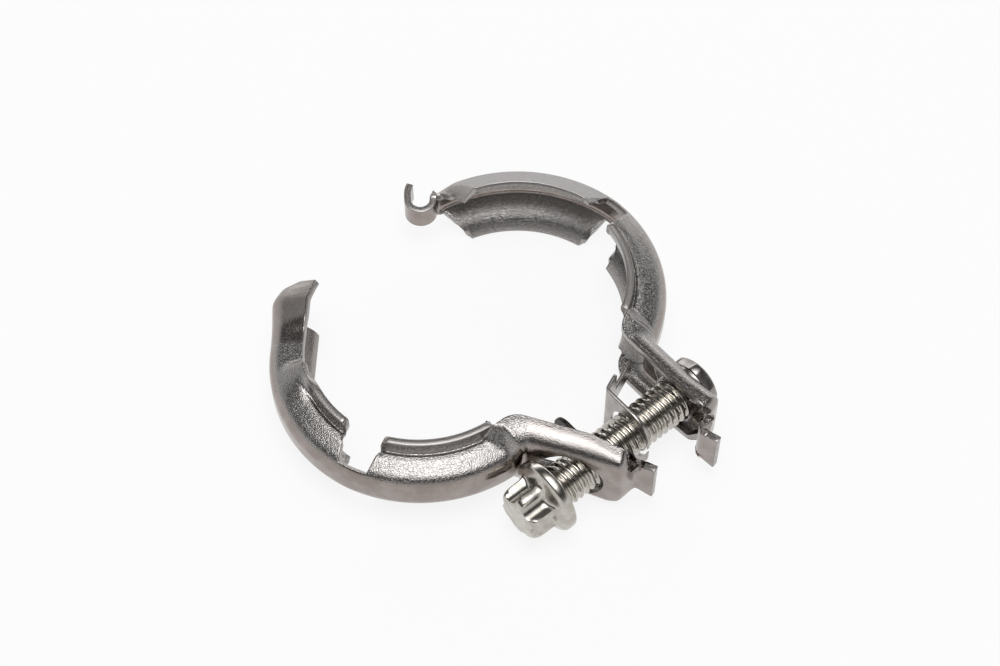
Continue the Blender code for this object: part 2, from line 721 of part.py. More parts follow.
def stand_on_floor():
    """Put the origin under the middle of the clamp, on the floor."""
    bpy.context.view_layer.update()
    graph = bpy.context.evaluated_depsgraph_get()
    corners = []
    for obj in parts.objects:
        if obj.type != "MESH":
            continue
        solid = obj.evaluated_get(graph)
        corners += [solid.matrix_world @ vertex.co for vertex in solid.data.vertices]
    low = [min(corner[axis] for corner in corners) for axis in range(3)]
    high = [max(corner[axis] for corner in corners) for axis in range(3)]
    shift = Vector(((low[0] + high[0]) / 2, (low[1] + high[1]) / 2, low[2]))
    for obj in list(parts.objects) + list(cutters.objects):
        if obj.parent is None:
            obj.location -= shift


def build():
    clear_scene()
    far = Arm(FAR_CENTRE, FAR_CREASE_ANGLE, FAR_SLANT, FAR_LUG_JOG, 1)
    near = Arm(NEAR_CENTRE, NEAR_CREASE_ANGLE, NEAR_SLANT, NEAR_LUG_JOG, -1)

    far_ear = sheet_object("hook_arm_ear", far, ear_segment_stations(far, FAR_NOTCH), "arm")
    hook = sheet_object("hook_arm_hook", far, hook_segment_stations(far, FAR_NOTCH), "arm")
    near_ear = sheet_object("tongue_arm_ear", near, ear_segment_stations(near, NEAR_NOTCH),
                            "arm")
    tongue = sheet_object("tongue_arm_tongue", near, tongue_segment_stations(near, NEAR_NOTCH),
                          "arm")
    cut_window(far_ear, far)
    cut_window(near_ear, near)

    # The bolt stands square to the far plate, and its line meets the near one.
    direction = -far.direction(far.inward)
    seat = far.world(far.ear_point(BOLT_TO_CREASE, 0))
    near_line = near.world(near.crease).xy
    crossing = line_crossing(seat.xy, direction.xy, near_line, near.direction(near.along).xy)
    near_face = seat + direction * crossing

    nut_frame = bolt_frame(seat + direction * SEAT_GAP, direction)
    head_frame = bolt_frame(near_face - direction * HEAD_STANDOFF, direction)
    shank = -crossing + HEAD_STANDOFF + SEAT_GAP + NUT_HEIGHT + THREAD_END
    bolt = flange_bolt(head_frame, shank)
    nut = hex_nut(nut_frame)
    clip = spring_clip(bolt_frame(seat, direction), far)
    retainer = bolt_retainer(bolt_frame(near_face, direction), RETAINER_STANDOFF)

    swing = joint_empty("bolt_swing", near_face + direction * SHEET / 2,
                        [bolt, nut, clip, retainer, far_ear])
    hook_flex = joint_empty("hook_flex", hinge_point(far, FAR_NOTCH), [hook])
    tongue_flex = joint_empty("tongue_flex", hinge_point(near, NEAR_NOTCH), [tongue])
    hook_flex.parent = swing
    hook_flex.matrix_parent_inverse = swing.matrix_world.inverted()
    stand_on_floor()


build()
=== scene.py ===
"""The V-profile flange clamp as it looks: two stamped stainless arms, opened on
their living hinges and their bolt, lying on a plain floor."""
import json
from math import acos, ceil, cos, degrees, floor, hypot, pi, radians, sin, sqrt, tan

import bmesh
import bpy
from mathutils import Matrix, Vector, kdtree, noise


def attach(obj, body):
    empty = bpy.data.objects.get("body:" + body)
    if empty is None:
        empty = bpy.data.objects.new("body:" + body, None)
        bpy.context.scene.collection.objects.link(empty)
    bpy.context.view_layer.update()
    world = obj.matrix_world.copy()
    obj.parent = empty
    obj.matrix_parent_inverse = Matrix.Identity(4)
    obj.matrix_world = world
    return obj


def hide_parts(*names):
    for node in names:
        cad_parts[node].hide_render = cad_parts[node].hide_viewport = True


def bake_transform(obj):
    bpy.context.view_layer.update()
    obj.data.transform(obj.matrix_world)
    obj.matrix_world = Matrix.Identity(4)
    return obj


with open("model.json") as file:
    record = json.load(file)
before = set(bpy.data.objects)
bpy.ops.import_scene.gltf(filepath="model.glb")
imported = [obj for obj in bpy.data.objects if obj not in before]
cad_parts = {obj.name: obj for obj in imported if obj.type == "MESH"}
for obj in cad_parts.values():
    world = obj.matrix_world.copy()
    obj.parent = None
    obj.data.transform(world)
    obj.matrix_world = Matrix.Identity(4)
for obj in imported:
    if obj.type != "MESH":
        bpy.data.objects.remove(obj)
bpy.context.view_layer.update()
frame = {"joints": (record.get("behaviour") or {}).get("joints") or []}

mm = 0.001

# ---------------------------------------------------------------- the ring's section
SHEET = 1.0 * mm
SHEET_EDGE_ROUND = 0.11 * mm
RING_RADIUS = 21.2 * mm  # over the web
CHANNEL_DEPTH = 4.7 * mm  # from the web in to the brim
CLAMP_HEIGHT = 10.8 * mm
WEB_FLAT = 1.6 * mm
SHOULDER_RADIUS = 2.4 * mm
FLANGE_SLOPE = 19.0  # degrees
# Upper wall past the shoulder, as depth and height in millimetres: the sloping
# flange, a low bead, a groove, and the brim that stands up.
FLANGE_ROWS = ((1.95, 3.18), (2.5, 3.37), (3.0, 3.54), (3.42, 3.66))
BEAD_ROWS = ((3.58, 3.65), (3.85, 3.7), (4.08, 3.68))
GROOVE_ROWS = ((4.28, 3.56), (4.44, 3.47), (4.55, 3.6))
BRIM_ROWS = ((4.62, 3.9), (4.66, 4.4), (4.68, 4.95), (4.7, 5.4))
BOWL_SWEEP = Vector((4.35 * mm, 3.95 * mm))  # pulls the lower wall's curve outwards
ROOF_HEIGHT = 3.85 * mm  # brim of the flattened wall over the tongue
BRIM_CORNER = 1.3 * mm  # rounding of the brim at a cut end

# ---------------------------------------------------------------- ears and lugs
# Distances along an ear are from the crease where it leaves the ring.
EAR_DEPTH = 2.95 * mm
EAR_CORNER = 2.6 * mm
EAR_WALL_SLOPE = 4.0  # degrees
END_CORNER = 1.9 * mm  # the ear's corner and slope where its walls end
END_SLOPE = 5.0
EAR_CREASE = 0.7 * mm  # bend radius of the plate at the crease
EAR_INNER_BEND = 3.2 * mm  # bend radius of the wall's edge there
CREASE_REACH = 9.5  # degrees of ring that the crease takes, at the brim
CREASE_BLEND = 3.6
CREASE_SPREAD = 1.3  # how much longer the blend is at the brim
DEEP_WALL_END = 7.0 * mm  # the wall's extra depth beside the crease fades from here
DEEP_WALL_FADE = 5.5 * mm
TAPER_START = 6.5 * mm
WALL_END = 12.9 * mm
CLOSE_START = 12.3 * mm  # the upper wall closes in to the lug from here
LOWER_CLOSE_START = 11.0 * mm  # the lower wall rounds off earlier
JOG_START = 12.5 * mm
LUG_START = 14.5 * mm
LUG_END = 16.8 * mm
LUG_RETURN = 0.4 * mm
LUG_NECK = 2.85 * mm  # half heights of the lug
LUG_HALF = 3.25 * mm
LUG_COVER = 1.3 * mm
CRUMPLE_START = 11.4 * mm
CRUMPLE_END = 15.0 * mm
CRUMPLE_DEPTH = 0.12 * mm
WINDOW_MIDDLE = 6.15 * mm
WINDOW_LENGTH = 8.9 * mm
WINDOW_HEIGHT = 7.7 * mm

# ---------------------------------------------------------------- hook and tongue
# Plan paths: a run has a length and steps, a turn a radius, degrees and steps.
HOOK_START = 148.0  # degrees round the far arm
HOOK_LEAN_BACK = 6.5
HOOK_HEIGHT = 3.4 * mm
HOOK_SQUEEZE = 0.36  # share by which the ring's end is squeezed down to the hook
HOOK_SQUEEZE_RUN = 9.0  # degrees
HOOK_SETTLE = 12  # steps of the crest, in which the strip gets its height
HOOK_MOUTH = 2.6 * mm
HOOK_PATH = [("turn", 1.5 * mm, 60.0, HOOK_SETTLE), ("turn", HOOK_MOUTH / 2, -180.0, 18),
             ("run", 0.9 * mm, 2), ("turn", 4.0 * mm, -26.0, 5)]
TONGUE_START = 131.5  # degrees round the near arm
# Its upper wall first loses bead and groove and is then beaten flat, each from
# an angle and over a run of degrees.
EAVE_FROM, EAVE_RUN = 98.0, 16.0
ROOF_FROM, ROOF_RUN = 118.0, 5.0
TONGUE_REACH = 1.7 * mm
TONGUE_PATH = [("turn", 51.0 * mm, -6.0, 10), ("run", TONGUE_REACH, 3)]
TONGUE_BRIM_PATH = [("run", 5.4 * mm, 10), ("run", TONGUE_REACH, 3)]
TIP_PATH = [("turn", 2.8 * mm, 34.0, 5), ("run", 0.9 * mm, 2),
            ("turn", 1.6 * mm, 32.0, 4), ("run", 1.9 * mm, 5)]
TIP_BRIM_PATH = [("run", 2.9 * mm, sum(move[-1] for move in TIP_PATH))]
TIP_TURN = 16.0  # degrees that the tip's brim turns in

# ---------------------------------------------------------------- bolt, nut and springs
BOLT_TO_CREASE = 7.2 * mm  # from the far ear's crease
HEAD_STANDOFF = 3.7 * mm  # near ear's face to the head's flange
# The head from its end to the shank, in millimetres: radius, height above the
# seat, and the share of the flutes' depth that is let in there.
HEAD_RINGS = (
    (0.0, -5.8, 0), (1.3, -5.8, 0), (2.2, -5.8, 0), (2.6, -5.79, 1), (2.95, -5.75, 1),
    (3.2, -5.66, 1), (3.4, -5.48, 1), (3.56, -5.2, 1), (3.68, -4.8, 1), (3.75, -3.9, 1),
    (3.75, -3.4, 1), (3.75, -2.95, 1), (3.76, -2.6, 0.97), (3.79, -2.35, 0.85),
    (3.87, -2.12, 0.6), (4.0, -1.93, 0.3), (4.2, -1.77, 0.1), (4.45, -1.64, 0),
    (4.72, -1.52, 0), (4.92, -1.42, 0), (5.05, -1.32, 0), (5.14, -1.2, 0), (5.19, -1.04, 0),
    (5.2, -0.6, 0), (5.19, -0.25, 0), (5.15, -0.12, 0), (5.05, -0.03, 0), (4.8, 0.0, 0),
    (3.6, 0.0, 0), (3.15, 0.03, 0), (3.0, 0.15, 0))
FLUTE_RADIUS = 1.5 * mm
FLUTE_MIDDLE = 4.15 * mm  # from the bolt's axis
BOLT_RADIUS = 3.0 * mm
BOLT_PAST_NUT = 0.1 * mm
BOLT_END_RADII = (1.7 * mm, 0.8 * mm, 0.0)  # the end's low crown
BOLT_END_STEP = 0.02 * mm
PITCH = 1.0 * mm
THREAD_DEPTH = 0.42 * mm
SEAT_GAP = 0.3 * mm  # under the nut
NUT_HEIGHT = 1.7 * mm
NUT_WIDTH = 7.3 * mm  # across its flats
NUT_CROWN = 6.7 * mm  # across the flat of its end
NUT_CORNER_TRIM = 0.28 * mm
NUT_CHAMFER = 30.0  # degrees
NUT_BORE_GAP = 0.12 * mm
NUT_NECK = 7.0 * mm
NUT_NECK_LENGTH = 3.2 * mm
CLIP_SHEET = 0.45 * mm
CLIP_STANDOFF = 10.7 * mm  # far ear's face to the clip's plate
CLIP_SEAT_DEPTH = 3.6 * mm
CLIP_RIGHT = 3.6 * mm  # the plate's reach to both sides of the bolt
CLIP_LEFT = 4.8 * mm
CLIP_FOLD = 0.45 * mm
CLIP_HALF = 5.2 * mm
CLIP_CORNER = 0.5 * mm
CLIP_FREE_CORNER = 3.4 * mm
CLIP_TAIL_HALF = 1.6 * mm
CLIP_TAIL_START = 2.6 * mm
CLIP_HOLE = 3.5 * mm
RETAINER_SHEET = 0.5 * mm
RETAINER_STANDOFF = 3.2 * mm  # near ear's face to the retainer
# The fork reaches this far left so that its dark face fills the near ear's window: painted shade
# where the window is in shadow.
RETAINER_LEFT = 7.0 * mm
RETAINER_RIGHT = 1.7 * mm
RETAINER_HALF = 4.1 * mm
RETAINER_TAPER = 0.5 * mm
RETAINER_CORNER = 2.4 * mm
RETAINER_HOLE = 3.15 * mm
RETAINER_MOUTH = 2.6 * mm  # half height; narrower than the bolt
BLANK_CELL = 0.3 * mm

# ---------------------------------------------------------------- finishes and studio
# Colours are pairs, of the darker and the lighter patches.
BENT_STEEL = ((0.285, 0.245, 0.226), (0.345, 0.305, 0.285))
DRAWN_STEEL = ((0.265, 0.252, 0.243), (0.385, 0.37, 0.36))
CUT_STEEL = ((0.30, 0.28, 0.27), (0.5, 0.48, 0.46))
BOLT_ZINC = ((0.43, 0.405, 0.365), (0.55, 0.525, 0.485))
NUT_ZINC = ((0.26, 0.24, 0.235), (0.42, 0.395, 0.38))
CLIP_STEEL = ((0.32, 0.30, 0.285), (0.42, 0.40, 0.38))
# Near-black colour of the retaining fork: painted shade, for a fork that sits in shadow behind
# the near ear.
FORK_SHADE_STEEL = ((0.022, 0.018, 0.015), (0.06, 0.05, 0.042))
STRIP_STRETCH, LUG_STRETCH, EAR_STRETCH = 0.3, 0.4, 0.6
HINGE_STRETCH, TONGUE_STRETCH = 0.4, 0.5
WEB_STRETCH = 0.12  # share of a section's stretch that its web has
FLOOR_WHITE = (0.9, 0.9, 0.9)
FLOOR_GLOW = 0.86  # share of plain white
# What the steel mirrors: brightness by the height of the direction, 1 overhead.
SKY = ((0.0, 0.9), (0.33, 0.9), (0.46, 0.3), (0.62, 0.06), (0.8, 0.09), (0.9, 0.8),
       (0.96, 2.2), (1.0, 2.4))
CAMERA_ELEVATION = 56.55  # degrees
CAMERA_DISTANCE = 0.28388
CAMERA_AIM = (0.000943, 0.002102)
CAMERA_LENS = 74.77  # on a sensor 36 wide

JOINTS = {joint["name"]: joint for joint in frame["joints"]}
MID = JOINTS["bolt_turn"]["pos_m"][2]


# ---------------------------------------------------------------- plan helpers
def polar(radius, angle):
    return Vector((radius * cos(radians(angle)), radius * sin(radians(angle))))


def smooth(value):
    """Ease from 0 to 1; the value is clamped."""
    value = min(max(value, 0.0), 1.0)
    return value * value * (3.0 - 2.0 * value)


def spread(start, end, steps):
    return [start + (end - start) * i / steps for i in range(steps + 1)]


def arc(centre, radius, start, end, steps):
    return [centre + polar(radius, angle) for angle in spread(start, end, steps)]


def curve(start, pull, end, steps):
    """Curve that leaves and arrives along the lines to the pull point."""
    return [start.lerp(pull, share).lerp(pull.lerp(end, share), share)
            for share in spread(0, 1, steps)]


# ---------------------------------------------------------------- sections
# A section runs from mid-height out to the sheet's edge.  Each row is a depth
# behind the web or plate face, as a share of the full depth, and a height above
# mid-height.
PLATE_ROW = 6                     # end of the ear's flat
STRIP_ROW = 9                     # edge of the strip that a notch leaves
CORNER_ROW = 12                   # end of the shoulder
BEAD_ROW = 16
TOP_ROW = 26


def ring_rows():
    shoulder = Vector((SHOULDER_RADIUS, WEB_FLAT / 2))
    rows = [Vector((0, 0))]
    rows += arc(shoulder, SHOULDER_RADIUS, 180, 90 + FLANGE_SLOPE, CORNER_ROW - 1)
    for depth, height in FLANGE_ROWS + BEAD_ROWS + GROOVE_ROWS + BRIM_ROWS:
        rows.append(Vector((depth * mm, height * mm)))
    return [Vector((row.x / CHANNEL_DEPTH, row.y)) for row in rows]


def ear_rows(radius, slope):
    """Flat plate, round corner and steep wall, spaced as the ring's rows are."""
    corner = arc(Vector((radius, 0)), radius, 180, 90 + slope, CORNER_ROW - PLATE_ROW)
    rise = (EAR_DEPTH - corner[-1].x) * tan(radians(slope))
    foot = CLAMP_HEIGHT / 2 - rise - corner[-1].y
    rows = [Vector((0, height)) for height in spread(0, foot, PLATE_ROW)]
    rows += [point + Vector((0, foot)) for point in corner[1:]]
    edge = Vector((EAR_DEPTH, CLAMP_HEIGHT / 2))
    last = rows[-1]
    first = RING[CORNER_ROW].x
    rows += [last.lerp(edge, (ring.x - first) / (1.0 - first)) for ring in RING[CORNER_ROW + 1:]]
    return [Vector((row.x / EAR_DEPTH, row.y)) for row in rows]


def bowl_rows():
    """The lower wall sweeps out to its edge without a groove."""
    start = RING[CORNER_ROW].copy()
    start.x *= CHANNEL_DEPTH
    edge = Vector((CHANNEL_DEPTH, CLAMP_HEIGHT / 2))
    sweep = curve(start, BOWL_SWEEP, edge, TOP_ROW - CORNER_ROW)[1:]
    return RING[:CORNER_ROW + 1] + [Vector((row.x / CHANNEL_DEPTH, row.y)) for row in sweep]


def straight_rows(last_row, edge_height):
    """The ring's rows up to one of them, then straight to the edge."""
    edge = Vector((1.0, edge_height))
    return RING[:last_row] + [RING[last_row].lerp(edge, share)
                              for share in spread(0, 1, TOP_ROW - last_row)]


def blend_rows(first, second, share):
    return [a.lerp(b, share) for a, b in zip(first, second)]


RING = ring_rows()
BOWL = bowl_rows()
EAVE = straight_rows(STRIP_ROW, CLAMP_HEIGHT / 2)       # upper wall of the hooked end
ROOF = straight_rows(CORNER_ROW, ROOF_HEIGHT)           # upper wall over the tongue
EAR = ear_rows(EAR_CORNER, EAR_WALL_SLOPE)
EAR_END = ear_rows(END_CORNER, END_SLOPE)


class Station:
    """One cross-section, with the rows kept above and below mid-height up to
    the next one, and how stretched (and so how rough) the metal is there."""

    def __init__(self, upper, lower, above, below, stretch):
        self.upper = upper
        self.lower = [Vector((p.x, p.y, -p.z)) for p in lower]
        self.above = above
        self.below = below
        self.stretch = stretch

    def point(self, row):
        return self.upper[row] if row >= 0 else self.lower[-row]


def section(outer, inner, rows, above=TOP_ROW, below=TOP_ROW, lower=None, stretch=1.0):
    """Station between two plan points: the face's and the wall edge's."""
    halves = []
    for half in (rows, lower or rows):
        halves.append([])
        for fraction, height in half:
            plan = outer.lerp(inner, fraction)
            halves[-1].append(Vector((plan.x, plan.y, height)))
    return Station(*halves, above, below, stretch)


# ---------------------------------------------------------------- the two arms
class Arm:
    """An arm's own plan has its ring centre at the origin and its crease on
    +X; the ear leaves the crease, and the ring runs round from it.  The notch is
    its first cut, the hinge and its second cut, in degrees round the ring."""

    def __init__(self, joint, crease_angle, slant, lug_jog, hand, notch, leans, hinge_set,
                 deeper):
        self.lug_jog = lug_jog
        self.ear_lean, self.far_lean = leans
        self.deeper = deeper
        self.turn = radians(crease_angle)
        self.hand = hand
        self.notch = notch
        self.hinge_set = hinge_set
        self.along = polar(1.0, -slant)
        self.inward = polar(1.0, -slant - 90)
        self.crease = Vector((RING_RADIUS, 0))
        self.hinge = polar(RING_RADIUS - SHEET / 2, notch[1])
        self.centre = Vector((0, 0))
        self.centre = Vector(JOINTS[joint]["pos_m"][:2]) - self.world(self.hinge).xy

    def world(self, point):
        flat = Vector((point.x, point.y * self.hand))
        flat = Matrix.Rotation(self.turn, 2) @ flat + self.centre
        return Vector((flat.x, flat.y, MID + (point.z if len(point) == 3 else 0.0)))

    def direction(self, vector):
        flat = Matrix.Rotation(self.turn, 2) @ Vector((vector.x, vector.y * self.hand))
        return Vector((flat.x, flat.y, 0.0))

    def bend(self, radius, start, fillet, steps):
        """Fillet between the ear's line through a point and a ring circle, and
        the angle at which it meets the circle."""
        normal = -self.inward
        reach = (start.dot(normal) + fillet) / (radius + fillet)
        normal_angle = degrees(normal.angle_signed(Vector((1, 0))))
        meet = normal_angle - degrees(acos(reach))
        middle = polar(radius + fillet, meet)
        return arc(middle, fillet, normal_angle - 180, meet - 180, steps), meet

    def ear_point(self, distance, depth):
        return self.crease + self.along * distance + self.inward * depth


FAR = Arm("hook_flex", crease_angle=-27.0, slant=22.5, lug_jog=3.9 * mm, hand=1,
          notch=(65.0, 71.0, 74.5), leans=(-4.0, 2.2), hinge_set=2.9, deeper=0.3 * mm)
NEAR = Arm("tongue_flex", crease_angle=-49.0, slant=31.0, lug_jog=2.5 * mm, hand=-1,
           notch=(61.0, 68.0, 71.0), leans=(-2.5, 6.0), hinge_set=2.0, deeper=0.9 * mm)


def jog(arm, distance):
    """Depth of the plate, which steps back to the lug."""
    back = LUG_RETURN * max(distance - LUG_START, 0.0) / (LUG_END - LUG_START)
    return arm.lug_jog * smooth((distance - JOG_START) / (LUG_START - JOG_START)) - back


def wall_depth(arm, distance):
    """Depth of the wall's edge; deeper beside the crease."""
    near_crease = 1.0 - smooth((distance - DEEP_WALL_END) / DEEP_WALL_FADE)
    return max(EAR_DEPTH + arm.deeper * near_crease, jog(arm, distance) + LUG_COVER)


def ear_profile(distance, close_start=CLOSE_START):
    """Rows of the ear at a distance from the crease.  Past the walls' end they
    close in, like a bow, and run out as the lug."""
    fall = smooth((distance - TAPER_START) / (WALL_END - TAPER_START))
    close = smooth((distance - close_start) / (LUG_START - close_start))
    widen = smooth((distance - LUG_START) / (LUG_END - LUG_START))
    half = LUG_NECK + (LUG_HALF - LUG_NECK) * widen
    squeeze = 1.0 + (half / (CLAMP_HEIGHT / 2) - 1.0) * close
    rows = []
    for fraction, height in blend_rows(EAR, EAR_END, fall):
        rows.append(Vector((fraction * (1.0 - close), height * squeeze)))
    return rows


def ear_surface(arm, distance, height):
    """Point of the ear's skin at a distance and a height."""
    rows = ear_profile(distance)
    face = jog(arm, distance)
    fraction = rows[-1].x
    for low, high in zip(rows, rows[1:]):
        if abs(height) <= high.y:
            share = (abs(height) - low.y) / max(high.y - low.y, 1e-9)
            fraction = low.x + (high.x - low.x) * share
            break
    plan = arm.ear_point(distance, face + (wall_depth(arm, distance) - face) * fraction)
    return Vector((plan.x, plan.y, height))


def crumple(arm, distance, station):
    """Small folds where the upper wall's edge was squeezed shut."""
    first_row, fade_rows = 14, 10
    near = smooth((distance - CRUMPLE_START) / mm) * smooth((CRUMPLE_END - distance) / mm)
    for row, point in enumerate(station.upper):
        edge = smooth((row - first_row) / fade_rows) * near
        ripple = noise.noise(Vector((distance / (1.0 * mm), row * 0.1, 3.1 + arm.hand)))
        lift = noise.noise(Vector((distance / (1.2 * mm), row * 0.1, 9.4 + arm.hand)))
        point.xy = point.xy - arm.inward * (CRUMPLE_DEPTH * ripple * edge)
        point.z -= abs(lift) * CRUMPLE_DEPTH * edge


def ear_station(arm, distance, outer, inner, stretch):
    """Station of the lug or the ear, crumpled where it is near the lug."""
    lower = ear_profile(distance, LOWER_CLOSE_START)
    station = section(outer, inner, ear_profile(distance), lower=lower, stretch=stretch)
    crumple(arm, distance, station)
    return station


def lug_stations(arm, steps=22):
    stations = []
    for distance in spread(LUG_END, WALL_END, steps)[:-1]:
        outer = arm.ear_point(distance, jog(arm, distance))
        inner = arm.ear_point(distance, wall_depth(arm, distance))
        stations.append(ear_station(arm, distance, outer, inner, LUG_STRETCH))
    return stations


def ear_stations(arm, steps=36, bend_steps=10):
    """Stations from the walls' end to the crease and through its bend, and the
    angles at which the web and the brim join the ring."""
    outer_bend, meet = arm.bend(RING_RADIUS, arm.crease, EAR_CREASE, bend_steps)
    wall_foot = arm.ear_point(0, wall_depth(arm, 0.0))
    inner_bend, inner_meet = arm.bend(RING_RADIUS - CHANNEL_DEPTH, wall_foot, EAR_INNER_BEND,
                                      bend_steps)
    outer_end = (outer_bend[0] - arm.crease).dot(arm.along)
    inner_end = (inner_bend[0] - arm.crease).dot(arm.along)
    stations = []
    for share in spread(0.0, 1.0, steps)[:-1]:
        reach = WALL_END + (outer_end - WALL_END) * share
        wall_reach = WALL_END + (inner_end - WALL_END) * share
        outer = arm.ear_point(reach, jog(arm, reach))
        inner = arm.ear_point(wall_reach, wall_depth(arm, wall_reach))
        stations.append(ear_station(arm, reach, outer, inner, EAR_STRETCH))
    for outer, inner in zip(outer_bend, inner_bend):
        stations.append(section(outer, inner, EAR))
    return stations, meet, inner_meet


def ring_station(angle, lean=0.0, above=TOP_ROW, below=TOP_ROW, end_gap=None, upper=None,
                 stretch=1.0):
    """Section of the ring, with the ear's crease let in near the ear.  The lean
    turns the brim ahead of the web, in degrees; the brim's corner is rounded
    within a few degrees of a cut end; the upper wall may have its own rows."""
    drop = 0.0
    if end_gap is not None:
        short = BRIM_CORNER - radians(end_gap) * (RING_RADIUS - CHANNEL_DEPTH)
        if short > 0:
            drop = BRIM_CORNER - sqrt(max(BRIM_CORNER ** 2 - short ** 2, 0.0))
    halves = []
    for rows in (upper or RING, BOWL):
        halves.append([])
        for index, (ring, ear) in enumerate(zip(rows, EAR)):
            crease = CREASE_REACH * ring.x + CREASE_BLEND
            run_out = CREASE_BLEND * (1.0 + CREASE_SPREAD * ring.x)
            fraction, height = ring.lerp(ear, smooth((crease - angle) / run_out))
            height -= drop * max(index - BEAD_ROW, 0) / (TOP_ROW - BEAD_ROW)
            plan = polar(RING_RADIUS - CHANNEL_DEPTH * fraction, angle + lean * fraction)
            halves[-1].append(Vector((plan.x, plan.y, height)))
    return Station(*halves, above, below, stretch)


def walk(start, heading, moves):
    """Follow runs and turns in plan; each step is a point and a heading."""
    path = [(start, heading)]
    for kind, size, *angle, steps in moves:
        point, heading = path[-1]
        if kind == "run":
            for _ in range(steps):
                point = point + polar(size / steps, heading)
                path.append((point, heading))
            continue
        side = 90 if angle[0] > 0 else -90
        middle = point + polar(size, heading + side)
        for turn in spread(0, angle[0], steps)[1:]:
            path.append((middle + polar(size, heading - side + turn), heading + turn))
    return path


def strip_stations(path, start_half, half_height, last_row, settle):
    """Flat strip along a path, whose half height settles to its own."""
    stations = []
    for index, (point, heading) in enumerate(path):
        half = start_half + (half_height - start_half) * smooth((index + 1) / settle)
        rows = [Vector((0, half * min(row / last_row, 1.0))) for row in range(TOP_ROW + 1)]
        inner = point + polar(CHANNEL_DEPTH, heading + 90)
        stations.append(section(point, inner, rows, last_row, last_row, stretch=STRIP_STRETCH))
    return stations


def set_hinge(arm, stations, share=1.0):
    """Turn stations about the hinge strip, towards the ring."""
    turn = Matrix.Rotation(radians(arm.hinge_set * share), 2)
    for station in stations:
        for point in station.upper + station.lower:
            point.xy = turn @ (point.xy - arm.hinge) + arm.hinge
    return stations


def squeeze_upper(station, amount):
    """Squeeze the upper half of a station towards mid-height."""
    for point in station.upper:
        point.z *= 1.0 - amount


def ear_half(arm, crease_steps=24, ring_steps=44):
    """Lug, ear and ring, up to the relief notch."""
    cut = arm.notch[0]
    ear, meet, inner_meet = ear_stations(arm)
    stations = lug_stations(arm) + ear
    crease_end = CREASE_REACH + 2 * CREASE_BLEND
    for share in spread(0, 1, crease_steps)[1:]:
        angle = meet + (crease_end - meet) * share
        ahead = (inner_meet - meet) * (1 - share)
        stations.append(ring_station(angle, ahead))
    for share in spread(0, 1, ring_steps)[1:-1]:
        angle = crease_end + (cut - crease_end) * share
        stations.append(ring_station(angle, arm.ear_lean * share ** 4, end_gap=cut - angle))
    stations.append(ring_station(cut, arm.ear_lean, STRIP_ROW, STRIP_ROW, 0.0))
    return stations


def hinge_strip(arm, steps=10, bend=5.0):
    """The thin web left by the notch, bent a little inwards."""
    cut, hinge, far_cut = arm.notch
    stations = []
    for angle in spread(cut, far_cut, steps)[1:-1]:
        station = ring_station(angle, 0.0, STRIP_ROW, STRIP_ROW, stretch=HINGE_STRETCH)
        stations += set_hinge(arm, [station], smooth((angle - hinge) / bend + 0.5))
    return stations


def hook_half(arm, steps=60):
    """The far arm past its notch: ring, then the outward hook."""
    cut = arm.notch[2]
    stations = [ring_station(cut, arm.far_lean, end_gap=0.0, upper=EAVE)]
    for share in spread(0, 1, steps)[1:-1]:
        angle = cut + (HOOK_START - cut) * share
        lean = arm.far_lean * (1 - share) ** 4 - HOOK_LEAN_BACK * share ** 4
        end_gap = min(angle - cut, HOOK_START - angle)
        stations.append(ring_station(angle, lean, end_gap=end_gap, upper=EAVE))
        near_hook = smooth((angle - HOOK_START) / HOOK_SQUEEZE_RUN + 1.0)
        squeeze_upper(stations[-1], HOOK_SQUEEZE * near_hook)
    stations.append(ring_station(HOOK_START, -HOOK_LEAN_BACK, STRIP_ROW, STRIP_ROW, 0.0, EAVE))
    squeeze_upper(stations[-1], HOOK_SQUEEZE)
    path = walk(polar(RING_RADIUS, HOOK_START), HOOK_START + 90, HOOK_PATH)
    strip = strip_stations(path[1:], RING[STRIP_ROW].y, HOOK_HEIGHT / 2, STRIP_ROW, HOOK_SETTLE)
    for index, station in enumerate(strip):
        squeeze_upper(station, HOOK_SQUEEZE * (1.0 - smooth((index + 1) / HOOK_SETTLE)))
    return set_hinge(arm, stations + strip)


def tongue_half(arm, steps=60):
    """The near arm past its notch: ring, then the tongue with its roof and the
    lip under it.  The brim takes its own, shorter way round the tip."""
    cut = arm.notch[2]
    stations = [ring_station(cut, arm.far_lean, end_gap=0.0)]
    for share in spread(0, 1, steps)[1:]:
        angle = cut + (TONGUE_START - cut) * share
        upper = blend_rows(RING, EAVE, smooth((angle - EAVE_FROM) / EAVE_RUN))
        upper = blend_rows(upper, ROOF, smooth((angle - ROOF_FROM) / ROOF_RUN))
        stations.append(ring_station(angle, arm.far_lean * (1 - share) ** 4,
                                     end_gap=angle - cut, upper=upper))
    start, heading = polar(RING_RADIUS, TONGUE_START), TONGUE_START + 90
    path = walk(start, heading, TONGUE_PATH + TIP_PATH)
    brim = walk(start + polar(CHANNEL_DEPTH, TONGUE_START + 180), heading, TONGUE_BRIM_PATH)
    lipped = len(brim)
    brim += walk(brim[-1][0], heading + TIP_TURN, TIP_BRIM_PATH)[1:]
    for index, ((point, _), (inner, _)) in enumerate(zip(path, brim)):
        if index == 0:
            continue
        below = TOP_ROW if index < lipped else STRIP_ROW
        roof = blend_rows(ROOF, EAVE, 0.5 * smooth((index - 4) / 3.0))
        stations.append(section(point, inner, roof, TOP_ROW, below, BOWL, TONGUE_STRETCH))
    return set_hinge(arm, stations)


# ---------------------------------------------------------------- mesh helpers
def placed(name, data):
    """Add an object to the scene."""
    thing = bpy.data.objects.new(name, data)
    bpy.context.scene.collection.objects.link(thing)
    return thing


def mesh_from(name, bm):
    mesh = bpy.data.meshes.new(name)
    bm.to_mesh(mesh)
    bm.free()
    return mesh


